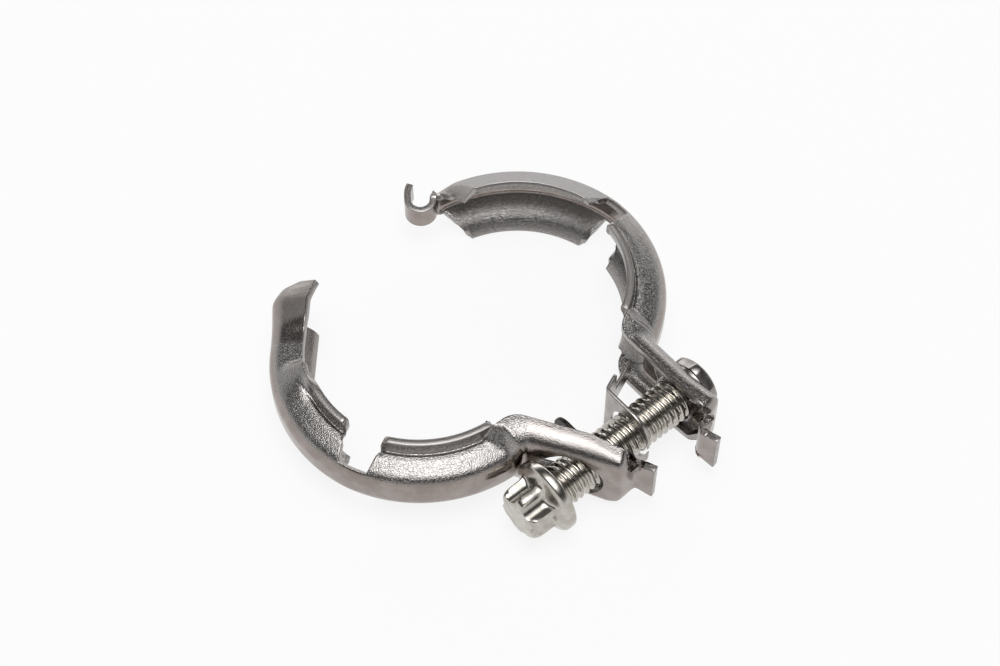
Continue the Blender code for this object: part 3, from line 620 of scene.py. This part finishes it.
def grid(columns, rows):
    """A square grid whose corners start at their own column and row."""
    bm = bmesh.new()
    bmesh.ops.create_grid(bm, x_segments=columns, y_segments=rows, size=1.0)
    for vertex in bm.verts:
        vertex.co.x = round((vertex.co.x + 1) / 2 * columns)
        vertex.co.y = round((vertex.co.y + 1) / 2 * rows)
    return bm


def finish_piece(name, bm, body, materials, replaces, outward=True):
    """Turn a bmesh into a piece that stands for a node, and rides on a body when one is given.
    """
    if outward:
        bmesh.ops.recalc_face_normals(bm, faces=bm.faces)
        if bm.calc_volume(signed=True) < 0:
            bmesh.ops.reverse_faces(bm, faces=bm.faces)
    mesh = mesh_from(name, bm)
    piece = placed(name, mesh)
    for material in materials:
        mesh.materials.append(material)
    mesh.shade_smooth()
    mesh.set_sharp_from_angle(angle=radians(38))
    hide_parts(*replaces)
    if body:
        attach(piece, body)
    return piece


def apply_modifiers(piece):
    """Keep the evaluated mesh as the piece's own."""
    bpy.context.view_layer.update()
    graph = bpy.context.evaluated_depsgraph_get()
    done = bpy.data.meshes.new_from_object(piece.evaluated_get(graph))
    piece.modifiers.clear()
    piece.data = done


def thicken(piece, thickness, offset, edge_radius):
    """Give a skin its thickness and round the edges; a bevel that runs away at
    a tight spot is put back on the sheet."""
    sheet = piece.modifiers.new("sheet", "SOLIDIFY")
    sheet.thickness = thickness
    sheet.offset = offset
    sheet.use_even_offset = False
    sheet.use_quality_normals = True
    sheet.material_offset_rim = 1
    apply_modifiers(piece)
    tree = kdtree.KDTree(len(piece.data.vertices))
    for vertex in piece.data.vertices:
        tree.insert(vertex.co, vertex.index)
    tree.balance()
    edge = piece.modifiers.new("edge", "BEVEL")
    edge.width = edge_radius
    edge.segments = 2
    edge.limit_method = "ANGLE"
    edge.angle_limit = radians(55)
    edge.use_clamp_overlap = False
    apply_modifiers(piece)
    for vertex in piece.data.vertices:
        nearest, _, away = tree.find(vertex.co)
        if away > 3 * edge_radius:
            vertex.co = nearest
        vertex.co.z = min(max(vertex.co.z, MID - CLAMP_HEIGHT / 2), MID + CLAMP_HEIGHT / 2)
    piece.data.shade_smooth()
    piece.data.set_sharp_from_angle(angle=radians(50))


def on_slot(point, length, height):
    """Nearest point of a round-ended slot's outline, and how far inside it is."""
    reach = (length - height) / 2
    core = Vector((min(max(point.x, -reach), reach), 0))
    away = point - core
    return core + away.normalized() * height / 2, height / 2 - away.length


def cut_ear_window(bm, arm):
    """Cut the bolt's window through the ear and draw its rim onto the slot."""
    ear_side, plate_reach, rim_reach = 10 * mm, 2.5 * mm, 0.4 * mm

    def seen_flat(point):
        """Place on the slot's plane, and whether the point is on the plate."""
        away = point.xy - arm.crease
        on_plate = point.x > ear_side and abs(away.dot(arm.inward)) < plate_reach
        return Vector((away.dot(arm.along) - WINDOW_MIDDLE, point.z)), on_plate

    gone = []
    for face in bm.faces:
        flat, on_plate = seen_flat(face.calc_center_median())
        if on_plate and on_slot(flat, WINDOW_LENGTH, WINDOW_HEIGHT)[1] > 0:
            gone.append(face)
    bmesh.ops.delete(bm, geom=gone, context="FACES")
    for vertex in bm.verts:
        if not vertex.is_boundary:
            continue
        flat, on_plate = seen_flat(vertex.co)
        place, inside = on_slot(flat, WINDOW_LENGTH, WINDOW_HEIGHT)
        if on_plate and abs(inside) < rim_reach:
            vertex.co = ear_surface(arm, place.x + WINDOW_MIDDLE, place.y)


def stamped_arm(name, arm, stations, nodes, hinge_half=2.5):
    """Draw a grid over the stations, cut it and thicken it inwards."""
    bm = grid(len(stations) - 1, 2 * TOP_ROW)
    stretch = bm.verts.layers.float.new("stretch")
    gone = []
    for face in bm.faces:
        spot = face.calc_center_median()
        station = stations[int(spot.x)]
        row = floor(spot.y) - TOP_ROW
        if not -station.below <= row < station.above:
            gone.append(face)
    for vertex in bm.verts:
        station = stations[round(vertex.co.x)]
        row = round(vertex.co.y) - TOP_ROW
        wall = smooth((abs(row) - STRIP_ROW + 3) / 4.0)
        vertex[stretch] = station.stretch * (WEB_STRETCH + (1.0 - WEB_STRETCH) * wall)
        vertex.co = station.point(row)
    bmesh.ops.delete(bm, geom=gone, context="FACES")
    cut_ear_window(bm, arm)
    for vertex in bm.verts:
        vertex.co = arm.world(vertex.co)
    if arm.hand < 0:
        bmesh.ops.reverse_faces(bm, faces=bm.faces)
    piece = finish_piece(name, bm, None, [stamped, sheared], nodes,
                         outward=False)
    thicken(piece, SHEET, -1.0, SHEET_EDGE_ROUND)
    start = arm.world(polar(RING_RADIUS, arm.notch[1] - hinge_half))
    end = arm.world(polar(RING_RADIUS, arm.notch[1] + hinge_half))
    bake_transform(piece)
    return piece


# ---------------------------------------------------------------- bolt line
def bolt_frame(origin, direction):
    """Local Z runs along the bolt, towards the nut; local Y stays upright."""
    side = Vector((0, 0, 1)).cross(direction)
    place = Matrix((side, direction.cross(side), direction)).transposed().to_4x4()
    place.translation = origin
    return place


def closed_tube(rows, steps, radius_and_height):
    """Tube of rings about local Z, from a rule for each ring's point."""
    bm = grid(steps, rows)
    for vertex in bm.verts:
        turn = 2 * pi * vertex.co.x / steps
        radius, height = radius_and_height(round(vertex.co.y), turn)
        vertex.co = Vector((radius * cos(turn), radius * sin(turn), height))
    bmesh.ops.remove_doubles(bm, verts=bm.verts, dist=0.002 * mm)
    return bm


def thread_radius(height, turn, depth):
    """Radius of a rolled 60 degree thread with rounded crest and root."""
    crest, flank = 0.1, 0.72
    phase = (height / PITCH - turn / (2 * pi)) % 1.0
    wave = abs(2 * phase - 1)
    return BOLT_RADIUS - depth * smooth((wave - crest) / flank)


def fluted(radius, turn, share):
    """Radius with six round flutes let in, whose edges are a little soft."""
    edge = 0.1 * mm
    lobe = (turn + pi / 6) % (pi / 3) - pi / 6
    across = FLUTE_MIDDLE * sin(lobe)
    if not share or abs(across) >= FLUTE_RADIUS:
        return radius
    scoop = FLUTE_MIDDLE * cos(lobe) - sqrt(FLUTE_RADIUS ** 2 - across ** 2)
    soft = 0.5 * (radius + scoop - hypot(radius - scoop, edge))
    return radius + (min(soft, radius) - radius) * share


def bolt_shank_and_head(place, shank):
    rings = [(radius * mm, height * mm, share) for radius, height, share in HEAD_RINGS]
    thread_start = rings[-1][1]
    thread_rows = int(ceil((shank - 0.2 * mm) / (PITCH / 10)))
    chamfer, slope = 0.75 * mm, 0.75

    def rule(row, turn):
        if row < len(rings):
            radius, height, share = rings[row]
            return fluted(radius, turn, share), height
        step = row - len(rings) + 1
        if step > thread_rows:
            past = step - thread_rows
            return BOLT_END_RADII[past - 1], shank + BOLT_END_STEP * past
        height = thread_start + (shank - thread_start) * step / thread_rows
        run_in = smooth((height - 0.3 * mm) / (1.2 * mm))
        radius = thread_radius(height, turn, THREAD_DEPTH * run_in)
        return min(radius, BOLT_RADIUS - slope * max(height - shank + chamfer, 0)), height

    bm = closed_tube(len(rings) + thread_rows + len(BOLT_END_RADII) - 1, 108, rule)
    bm.transform(place)
    return finish_piece("flange_bolt_threaded", bm, "bolt", [plated],
                        ["flange_bolt"])


def nut_outline(edge):
    """Radius and height round the nut's wall, where the hexagon is this wide."""
    bore, neck, crown = BOLT_RADIUS + NUT_BORE_GAP, NUT_NECK / 2, NUT_CROWN / 2
    foot = -NUT_NECK_LENGTH

    def chamfered(radius):
        return NUT_HEIGHT - max(radius - crown, 0) * tan(radians(NUT_CHAMFER))

    top, middle = chamfered(edge), (edge + crown) / 2
    outline = [(bore, foot), (bore + 0.3 * mm, foot), (neck - 0.3 * mm, foot),
               (neck - 0.08 * mm, foot + 0.08 * mm), (neck, foot + 0.3 * mm),
               (neck, -0.1 * mm), (neck + 0.02 * mm, 0.0),
               (edge - 0.12 * mm, 0.0), (edge - 0.03 * mm, 0.05 * mm), (edge, 0.15 * mm),
               (edge, 0.5 * top), (edge, top - 0.06 * mm), (edge - 0.02 * mm, top - 0.02 * mm),
               (edge - 0.07 * mm, top + 0.03 * mm), (middle, chamfered(middle)),
               (crown + 0.05 * mm, NUT_HEIGHT - 0.03 * mm), (crown - 0.1 * mm, NUT_HEIGHT),
               (bore + 0.25 * mm, NUT_HEIGHT), (bore + 0.06 * mm, NUT_HEIGHT - 0.08 * mm),
               (bore, NUT_HEIGHT - 0.25 * mm)]
    return outline + outline[:1]


def nut_with_collar(place):
    """Hexagon nut, chamfered, with the round collar that is clinched into the ear."""
    apothem = NUT_WIDTH / 2

    def rule(row, turn):
        sector = (turn + pi / 6) % (pi / 3) - pi / 6
        return nut_outline(min(apothem / cos(sector), apothem + NUT_CORNER_TRIM))[row]

    bm = closed_tube(len(nut_outline(apothem)) - 1, 120, rule)
    bm.transform(place)
    return finish_piece("clinched_hex_nut", bm, "hook_arm", [plated_dark],
                        ["hex_nut"])


# ---------------------------------------------------------------- spring parts
def cut_from_strip(width, height, inside):
    """Flat blank of small cells, cut where inside() is below nought, with its
    rim drawn onto the outline.  Lies in local XY, from x=0 to width."""
    columns, rows = int(ceil(width / BLANK_CELL)), int(ceil(height / BLANK_CELL))
    bm = grid(columns, rows)
    for vertex in bm.verts:
        vertex.co.x = vertex.co.x / columns * width
        vertex.co.y = (vertex.co.y / rows - 0.5) * height
    gone = [face for face in bm.faces if inside(face.calc_center_median().xy) < 0]
    bmesh.ops.delete(bm, geom=gone, context="FACES")
    nudge = 0.01 * mm
    for vertex in bm.verts:
        if not vertex.is_boundary:
            continue
        for _ in range(4):
            spot = vertex.co.xy
            deep = inside(spot)
            slope = Vector((inside(spot + Vector((nudge, 0))) - deep,
                            inside(spot + Vector((0, nudge))) - deep)) / nudge
            if slope.length < 0.2 or abs(deep) > 1.5 * BLANK_CELL:
                break
            vertex.co.xy = spot - slope * deep / slope.length_squared
    return bm


def bend_blank(bm, path):
    """Wrap a flat blank along plan points: x runs along them, y stays upright."""
    lengths = [0.0]
    for a, b in zip(path, path[1:]):
        lengths.append(lengths[-1] + (b - a).length)
    for vertex in bm.verts:
        run = min(max(vertex.co.x, 0.0), lengths[-1])
        index = max(i for i, length in enumerate(lengths) if length <= run + 1e-9)
        index = min(index, len(path) - 2)
        share = (run - lengths[index]) / (lengths[index + 1] - lengths[index])
        spot = path[index].lerp(path[index + 1], share)
        vertex.co = Vector((spot.x, spot.y, MID + vertex.co.y))


def rounded_box(point, half_width, half_height, radius):
    """Depth inside a rounded rectangle about the origin."""
    away = Vector((abs(point.x) - half_width + radius, abs(point.y) - half_height + radius))
    outside = Vector((max(away.x, 0), max(away.y, 0))).length
    return radius - outside - min(max(away.x, away.y), 0)


def spring_clip(place):
    """Strip across the bolt: holed plate, fold and the leg to the arm."""
    def plan(across):
        return (place @ Vector((-across, 0, -CLIP_STANDOFF))).xy

    foot = FAR.world(FAR.ear_point(-0.5 * mm, CLIP_SEAT_DEPTH)).xy
    fold = plan(-CLIP_LEFT)
    leg_start = fold + (foot - fold).normalized() * CLIP_FOLD
    path = [plan(across) for across in spread(CLIP_RIGHT, CLIP_FOLD - CLIP_LEFT, 12)]
    path += curve(path[-1], fold, leg_start, 5)[1:]
    path += [leg_start.lerp(foot, share) for share in spread(0, 1, 10)[1:]]
    plate = CLIP_RIGHT + CLIP_LEFT
    length = sum((b - a).length for a, b in zip(path, path[1:]))
    full = plate + CLIP_TAIL_START

    def inside(spot):
        body = rounded_box(Vector((spot.x - full / 2, spot.y)), full / 2, CLIP_HALF, CLIP_CORNER)
        free_end = rounded_box(Vector((spot.x - full / 2 - 2 * mm, spot.y)), full / 2 + 2 * mm,
                               CLIP_HALF, CLIP_FREE_CORNER)
        tail = min(CLIP_TAIL_HALF - abs(spot.y), length - spot.x + 0.3 * mm, spot.x - plate)
        hole = (spot - Vector((CLIP_RIGHT, 0))).length - CLIP_HOLE
        return min(max(min(body, free_end), tail), hole)

    bm = cut_from_strip(length, 2 * CLIP_HALF, inside)
    bend_blank(bm, path)
    piece = finish_piece("spring_clip_strip", bm, "hook_arm",
                         [spring, spring], ["bolt_spring_clip"], outward=False)
    thicken(piece, CLIP_SHEET, 0.0, 0.06 * mm)
    return piece


def bolt_retainer(place):
    """Fork snapped on the bolt behind the near ear; its near-black colour is painted shade, and
    it reaches far enough left to fill the ear's window with that shade.
    """
    width = RETAINER_LEFT + RETAINER_RIGHT

    def inside(spot):
        taper = RETAINER_TAPER * smooth((spot.x / width - 0.4) / 0.6)
        body = rounded_box(Vector((spot.x - width / 2 - mm, spot.y)), width / 2 + mm,
                           RETAINER_HALF - taper, RETAINER_CORNER)
        hole = (spot - Vector((RETAINER_LEFT, 0))).length - RETAINER_HOLE
        mouth = max(abs(spot.y) - RETAINER_MOUTH, RETAINER_LEFT - spot.x)
        return min(body, width - spot.x, hole, mouth)

    bm = cut_from_strip(width, 2 * RETAINER_HALF, inside)
    bend_blank(bm, [(place @ Vector((-x, 0, RETAINER_STANDOFF))).xy
                    for x in (-RETAINER_LEFT, RETAINER_RIGHT)])
    piece = finish_piece("bolt_retaining_fork", bm, "retainer",
                         [fork_painted_shade, fork_painted_shade], ["bolt_retaining_plate"], outward=False)
    thicken(piece, RETAINER_SHEET, 0.0, 0.07 * mm)
    return piece


# ---------------------------------------------------------------- finishes
class Output:
    """A node's output in a written-out expression; each operator adds a node."""

    def __init__(self, graph, socket):
        self.graph = graph
        self.socket = socket

    def maths(self, operation, other):
        return self.graph.node("ShaderNodeMath", {"operation": operation}, {0: self, 1: other})

    def __add__(self, other):
        return self.maths("ADD", other)

    def __mul__(self, other):
        return self.maths("MULTIPLY", other)

    __radd__ = __add__
    __rmul__ = __mul__

    def above(self, low, high):
        """0 below low, 1 above high."""
        return self.graph.node("ShaderNodeMapRange", {"interpolation_type": "SMOOTHSTEP"},
                               {"Value": self, "From Min": low, "From Max": high})

    def also(self, name):
        """Another output of the same node."""
        return Output(self.graph, self.socket.node.outputs[name])


class Graph:
    """A node tree under construction."""

    def __init__(self, tree):
        self.tree = tree

    def plug(self, socket, value):
        """Link an output to a socket, or set the socket to a constant."""
        if isinstance(value, Output):
            self.tree.links.new(value.socket, socket)
        elif socket.type == "RGBA":
            socket.default_value = (*value, 1.0)
        else:
            socket.default_value = value

    def node(self, kind, settings, sockets, output=0):
        """Add a node, set its settings and then its sockets."""
        new = self.tree.nodes.new(kind)
        for key, value in settings.items():
            if key == "stops":
                elements = new.color_ramp.elements
                for index, (position, level) in enumerate(value):
                    stop = elements[index] if index < 2 else elements.new(position)
                    stop.position = position
                    stop.color = (level, level, level, 1.0)
            else:
                setattr(new, key, value)
        for key, value in sockets.items():
            self.plug(new.inputs[key], value)
        return Output(self, new.outputs[output])

    def mix(self, share, first, second):
        """Colour between two colours."""
        return self.node("ShaderNodeMix", {"data_type": "RGBA"}, {0: share, 6: first, 7: second},
                         output=2)


class Finish(Graph):
    """A material under construction, with patterns that keep to the piece."""

    def __init__(self, name):
        self.material = bpy.data.materials.new(name)
        self.material.use_nodes = True
        super().__init__(self.material.node_tree)
        self.shader = self.tree.nodes["Principled BSDF"]
        self.place = self.node("ShaderNodeTexCoord", {}, {}, "Object")

    def grain(self, size, detail=2.0, roughness=0.5, stretch=None):
        """Noise whose blotches are about this big, from 0 to 1."""
        where = self.place
        if stretch:
            where = self.node("ShaderNodeMapping", {}, {"Vector": where, "Scale": stretch})
        return self.node("ShaderNodeTexNoise", {}, {"Vector": where, "Scale": 1.0 / size,
                                                    "Detail": detail, "Roughness": roughness})

    def attribute(self, name):
        return self.node("ShaderNodeAttribute", {"attribute_name": name}, {}, "Fac")

    def surface(self, colour, roughness, metallic=1.0, relief=None, depth=0.0):
        """Set the shader; the relief is a height that the depth scales."""
        self.plug(self.shader.inputs["Base Color"], colour)
        self.plug(self.shader.inputs["Roughness"], roughness)
        self.plug(self.shader.inputs["Metallic"], metallic)
        if relief:
            bump = self.node("ShaderNodeBump", {}, {"Height": relief, "Distance": depth,
                                                    "Strength": 1.0})
            self.plug(self.shader.inputs["Normal"], bump)
        return self.material


def stamped_steel():
    """Stainless sheet: smooth where it was only bent, pebbled where the press
    stretched it."""
    make = Finish("stamped_stainless")
    stretch = make.attribute("stretch")
    pebble = make.grain(0.16 * mm, 1.0)
    blotch = make.grain(2.2 * mm, 3.0, 0.55)
    smear = make.grain(0.5 * mm, stretch=(1.0, 1.0, 0.25))
    bent = make.mix(blotch.above(0.35, 0.7), *BENT_STEEL)
    drawn = make.mix(pebble.above(0.35, 0.7), *DRAWN_STEEL)
    tint = make.mix(stretch.above(0.2, 0.8), bent, drawn)
    rough = 0.13 + 0.05 * stretch + 0.08 * smear
    relief = pebble * (0.12 + 0.88 * stretch)
    return make.surface(tint, rough, relief=relief, depth=0.06 * mm)


def sheared_edge():
    """Cut edge of the sheet: brighter, with fine lines across it."""
    make = Finish("sheared_edge")
    lines = make.grain(0.10 * mm, 2.0, 0.6, stretch=(1.0, 1.0, 0.15))
    tint = make.mix(lines.above(0.4, 0.7), *CUT_STEEL)
    return make.surface(tint, 0.22 + 0.16 * lines, relief=lines, depth=0.02 * mm)


def plated_steel(name, colours, rough):
    """Zinc plating: faint patches and a very fine grain."""
    make = Finish(name)
    blotch = make.grain(1.1 * mm, 3.0, 0.6)
    fine = make.grain(0.12 * mm, 2.0, 0.6)
    tint = make.mix(blotch.above(0.35, 0.68), *colours)
    return make.surface(tint, rough + 0.12 * blotch, relief=fine, depth=0.004 * mm)


def rolled_spring(name, colours, rough):
    """Spring strip, with fine lines from the rolling."""
    make = Finish(name)
    lines = make.grain(0.22 * mm, 2.0, 0.6, stretch=(1.0, 1.0, 6.0))
    blotch = make.grain(1.6 * mm)
    tint = make.mix(blotch.above(0.3, 0.7), *colours)
    return make.surface(tint, rough + 0.12 * lines, relief=lines, depth=0.006 * mm)


stamped = stamped_steel()
sheared = sheared_edge()
plated = plated_steel("zinc_plated", BOLT_ZINC, 0.12)
plated_dark = plated_steel("zinc_plated_nut", NUT_ZINC, 0.18)
spring = rolled_spring("rolled_spring_steel", CLIP_STEEL, 0.2)
# Spring steel of the fork, made near-black as painted shade.
fork_painted_shade = rolled_spring("fork_steel_painted_shade", FORK_SHADE_STEEL, 0.26)


# ---------------------------------------------------------------- assembly
def line_crossing(point, direction, other, other_direction):
    """How far along one plan line another one crosses it."""
    cross = direction.x * other_direction.y - direction.y * other_direction.x
    gap = other - point
    return (gap.x * other_direction.y - gap.y * other_direction.x) / cross


stamped_arm("hook_arm_sheet", FAR, ear_half(FAR) + hinge_strip(FAR) + hook_half(FAR),
            ["hook_arm_ear", "hook_arm_hook"])
stamped_arm("tongue_arm_sheet", NEAR, ear_half(NEAR) + hinge_strip(NEAR) + tongue_half(NEAR),
            ["tongue_arm_ear", "tongue_arm_tongue"])

bolt_line = Vector(JOINTS["bolt_turn"]["axis"]).normalized()
far_face = FAR.world(FAR.ear_point(BOLT_TO_CREASE, 0))
crossing = line_crossing(far_face.xy, bolt_line.xy, NEAR.world(NEAR.crease).xy,
                         NEAR.direction(NEAR.along).xy)
bolt_shank_and_head(bolt_frame(Vector(JOINTS["bolt_turn"]["pos_m"]), bolt_line),
                    -crossing + HEAD_STANDOFF + SEAT_GAP + NUT_HEIGHT + BOLT_PAST_NUT)
nut_with_collar(bolt_frame(far_face + bolt_line * SEAT_GAP, bolt_line))
spring_clip(bolt_frame(far_face, bolt_line))
bolt_retainer(bolt_frame(far_face + bolt_line * crossing, bolt_line))


# ---------------------------------------------------------------- studio
def white_floor():
    """Paper whose glow shows to the camera and in the steel, and lights nothing."""
    bm = bmesh.new()
    bmesh.ops.create_grid(bm, x_segments=1, y_segments=1, size=1.5)
    floor_piece = placed("floor", mesh_from("floor", bm))
    paper = Finish("floor_paper")
    paper.surface(FLOOR_WHITE, 0.9, 0.0)
    ray = paper.node("ShaderNodeLightPath", {}, {}, "Is Camera Ray")
    seen = ray.maths("MAXIMUM", ray.also("Is Glossy Ray"))
    seen = seen.maths("MAXIMUM", ray.also("Is Transmission Ray"))
    glow = paper.node("ShaderNodeEmission", {}, {"Color": (1, 1, 1), "Strength": 1.0})
    lit = Output(paper, paper.shader.outputs[0])
    blend = paper.node("ShaderNodeMixShader", {}, {0: seen * FLOOR_GLOW, 1: lit, 2: glow})
    paper.plug(paper.tree.nodes["Material Output"].inputs[0], blend)
    floor_piece.data.materials.append(paper.material)


def bright_room():
    """The room that the steel mirrors; the camera itself sees plain white."""
    world = bpy.data.worlds.new("studio")
    bpy.context.scene.world = world
    world.use_nodes = True
    room = Graph(world.node_tree)
    direction = room.node("ShaderNodeTexCoord", {}, {}, "Generated")
    height = room.node("ShaderNodeVectorMath", {"operation": "DOT_PRODUCT"},
                       {0: direction, 1: (0, 0, 1)}, "Value")
    sky = room.node("ShaderNodeValToRGB", {"stops": SKY}, {0: height})
    camera_ray = room.node("ShaderNodeLightPath", {}, {}, "Is Camera Ray")
    room.plug(room.tree.nodes["Background"].inputs["Color"],
              room.mix(camera_ray, sky, (1, 1, 1)))
    room.plug(room.tree.nodes["Background"].inputs["Strength"], 1.0)


def softbox(name, place, size, power):
    """Rectangular lamp that faces the clamp."""
    lamp = bpy.data.lights.new(name, "AREA")
    lamp.shape = "RECTANGLE"
    lamp.size, lamp.size_y = size
    lamp.energy = power
    holder = placed(name, lamp)
    holder.location = place
    towards = Vector((0, 0, 0)) - Vector(place)
    holder.rotation_euler = towards.to_track_quat("-Z", "Y").to_euler()


def camera():
    """Seen from in front and above."""
    elevation = radians(CAMERA_ELEVATION)
    forward = Vector((0, cos(elevation), -sin(elevation)))
    data = bpy.data.cameras.new("camera")
    data.sensor_width = 36.0
    data.lens = CAMERA_LENS
    data.clip_start = 0.01
    holder = placed("camera", data)
    holder.location = Vector((*CAMERA_AIM, MID)) - forward * CAMERA_DISTANCE
    holder.rotation_mode = "QUATERNION"
    holder.rotation_quaternion = forward.to_track_quat("-Z", "Y")
    bpy.context.scene.camera = holder


bpy.context.scene.view_settings.view_transform = "Standard"
white_floor()
bright_room()
softbox("overhead", (0.02, -0.03, 0.5), (0.24, 0.34), 0.72)
softbox("behind", (0, 0.6, 0.17), (0.8, 0.2), 0.7)
camera()
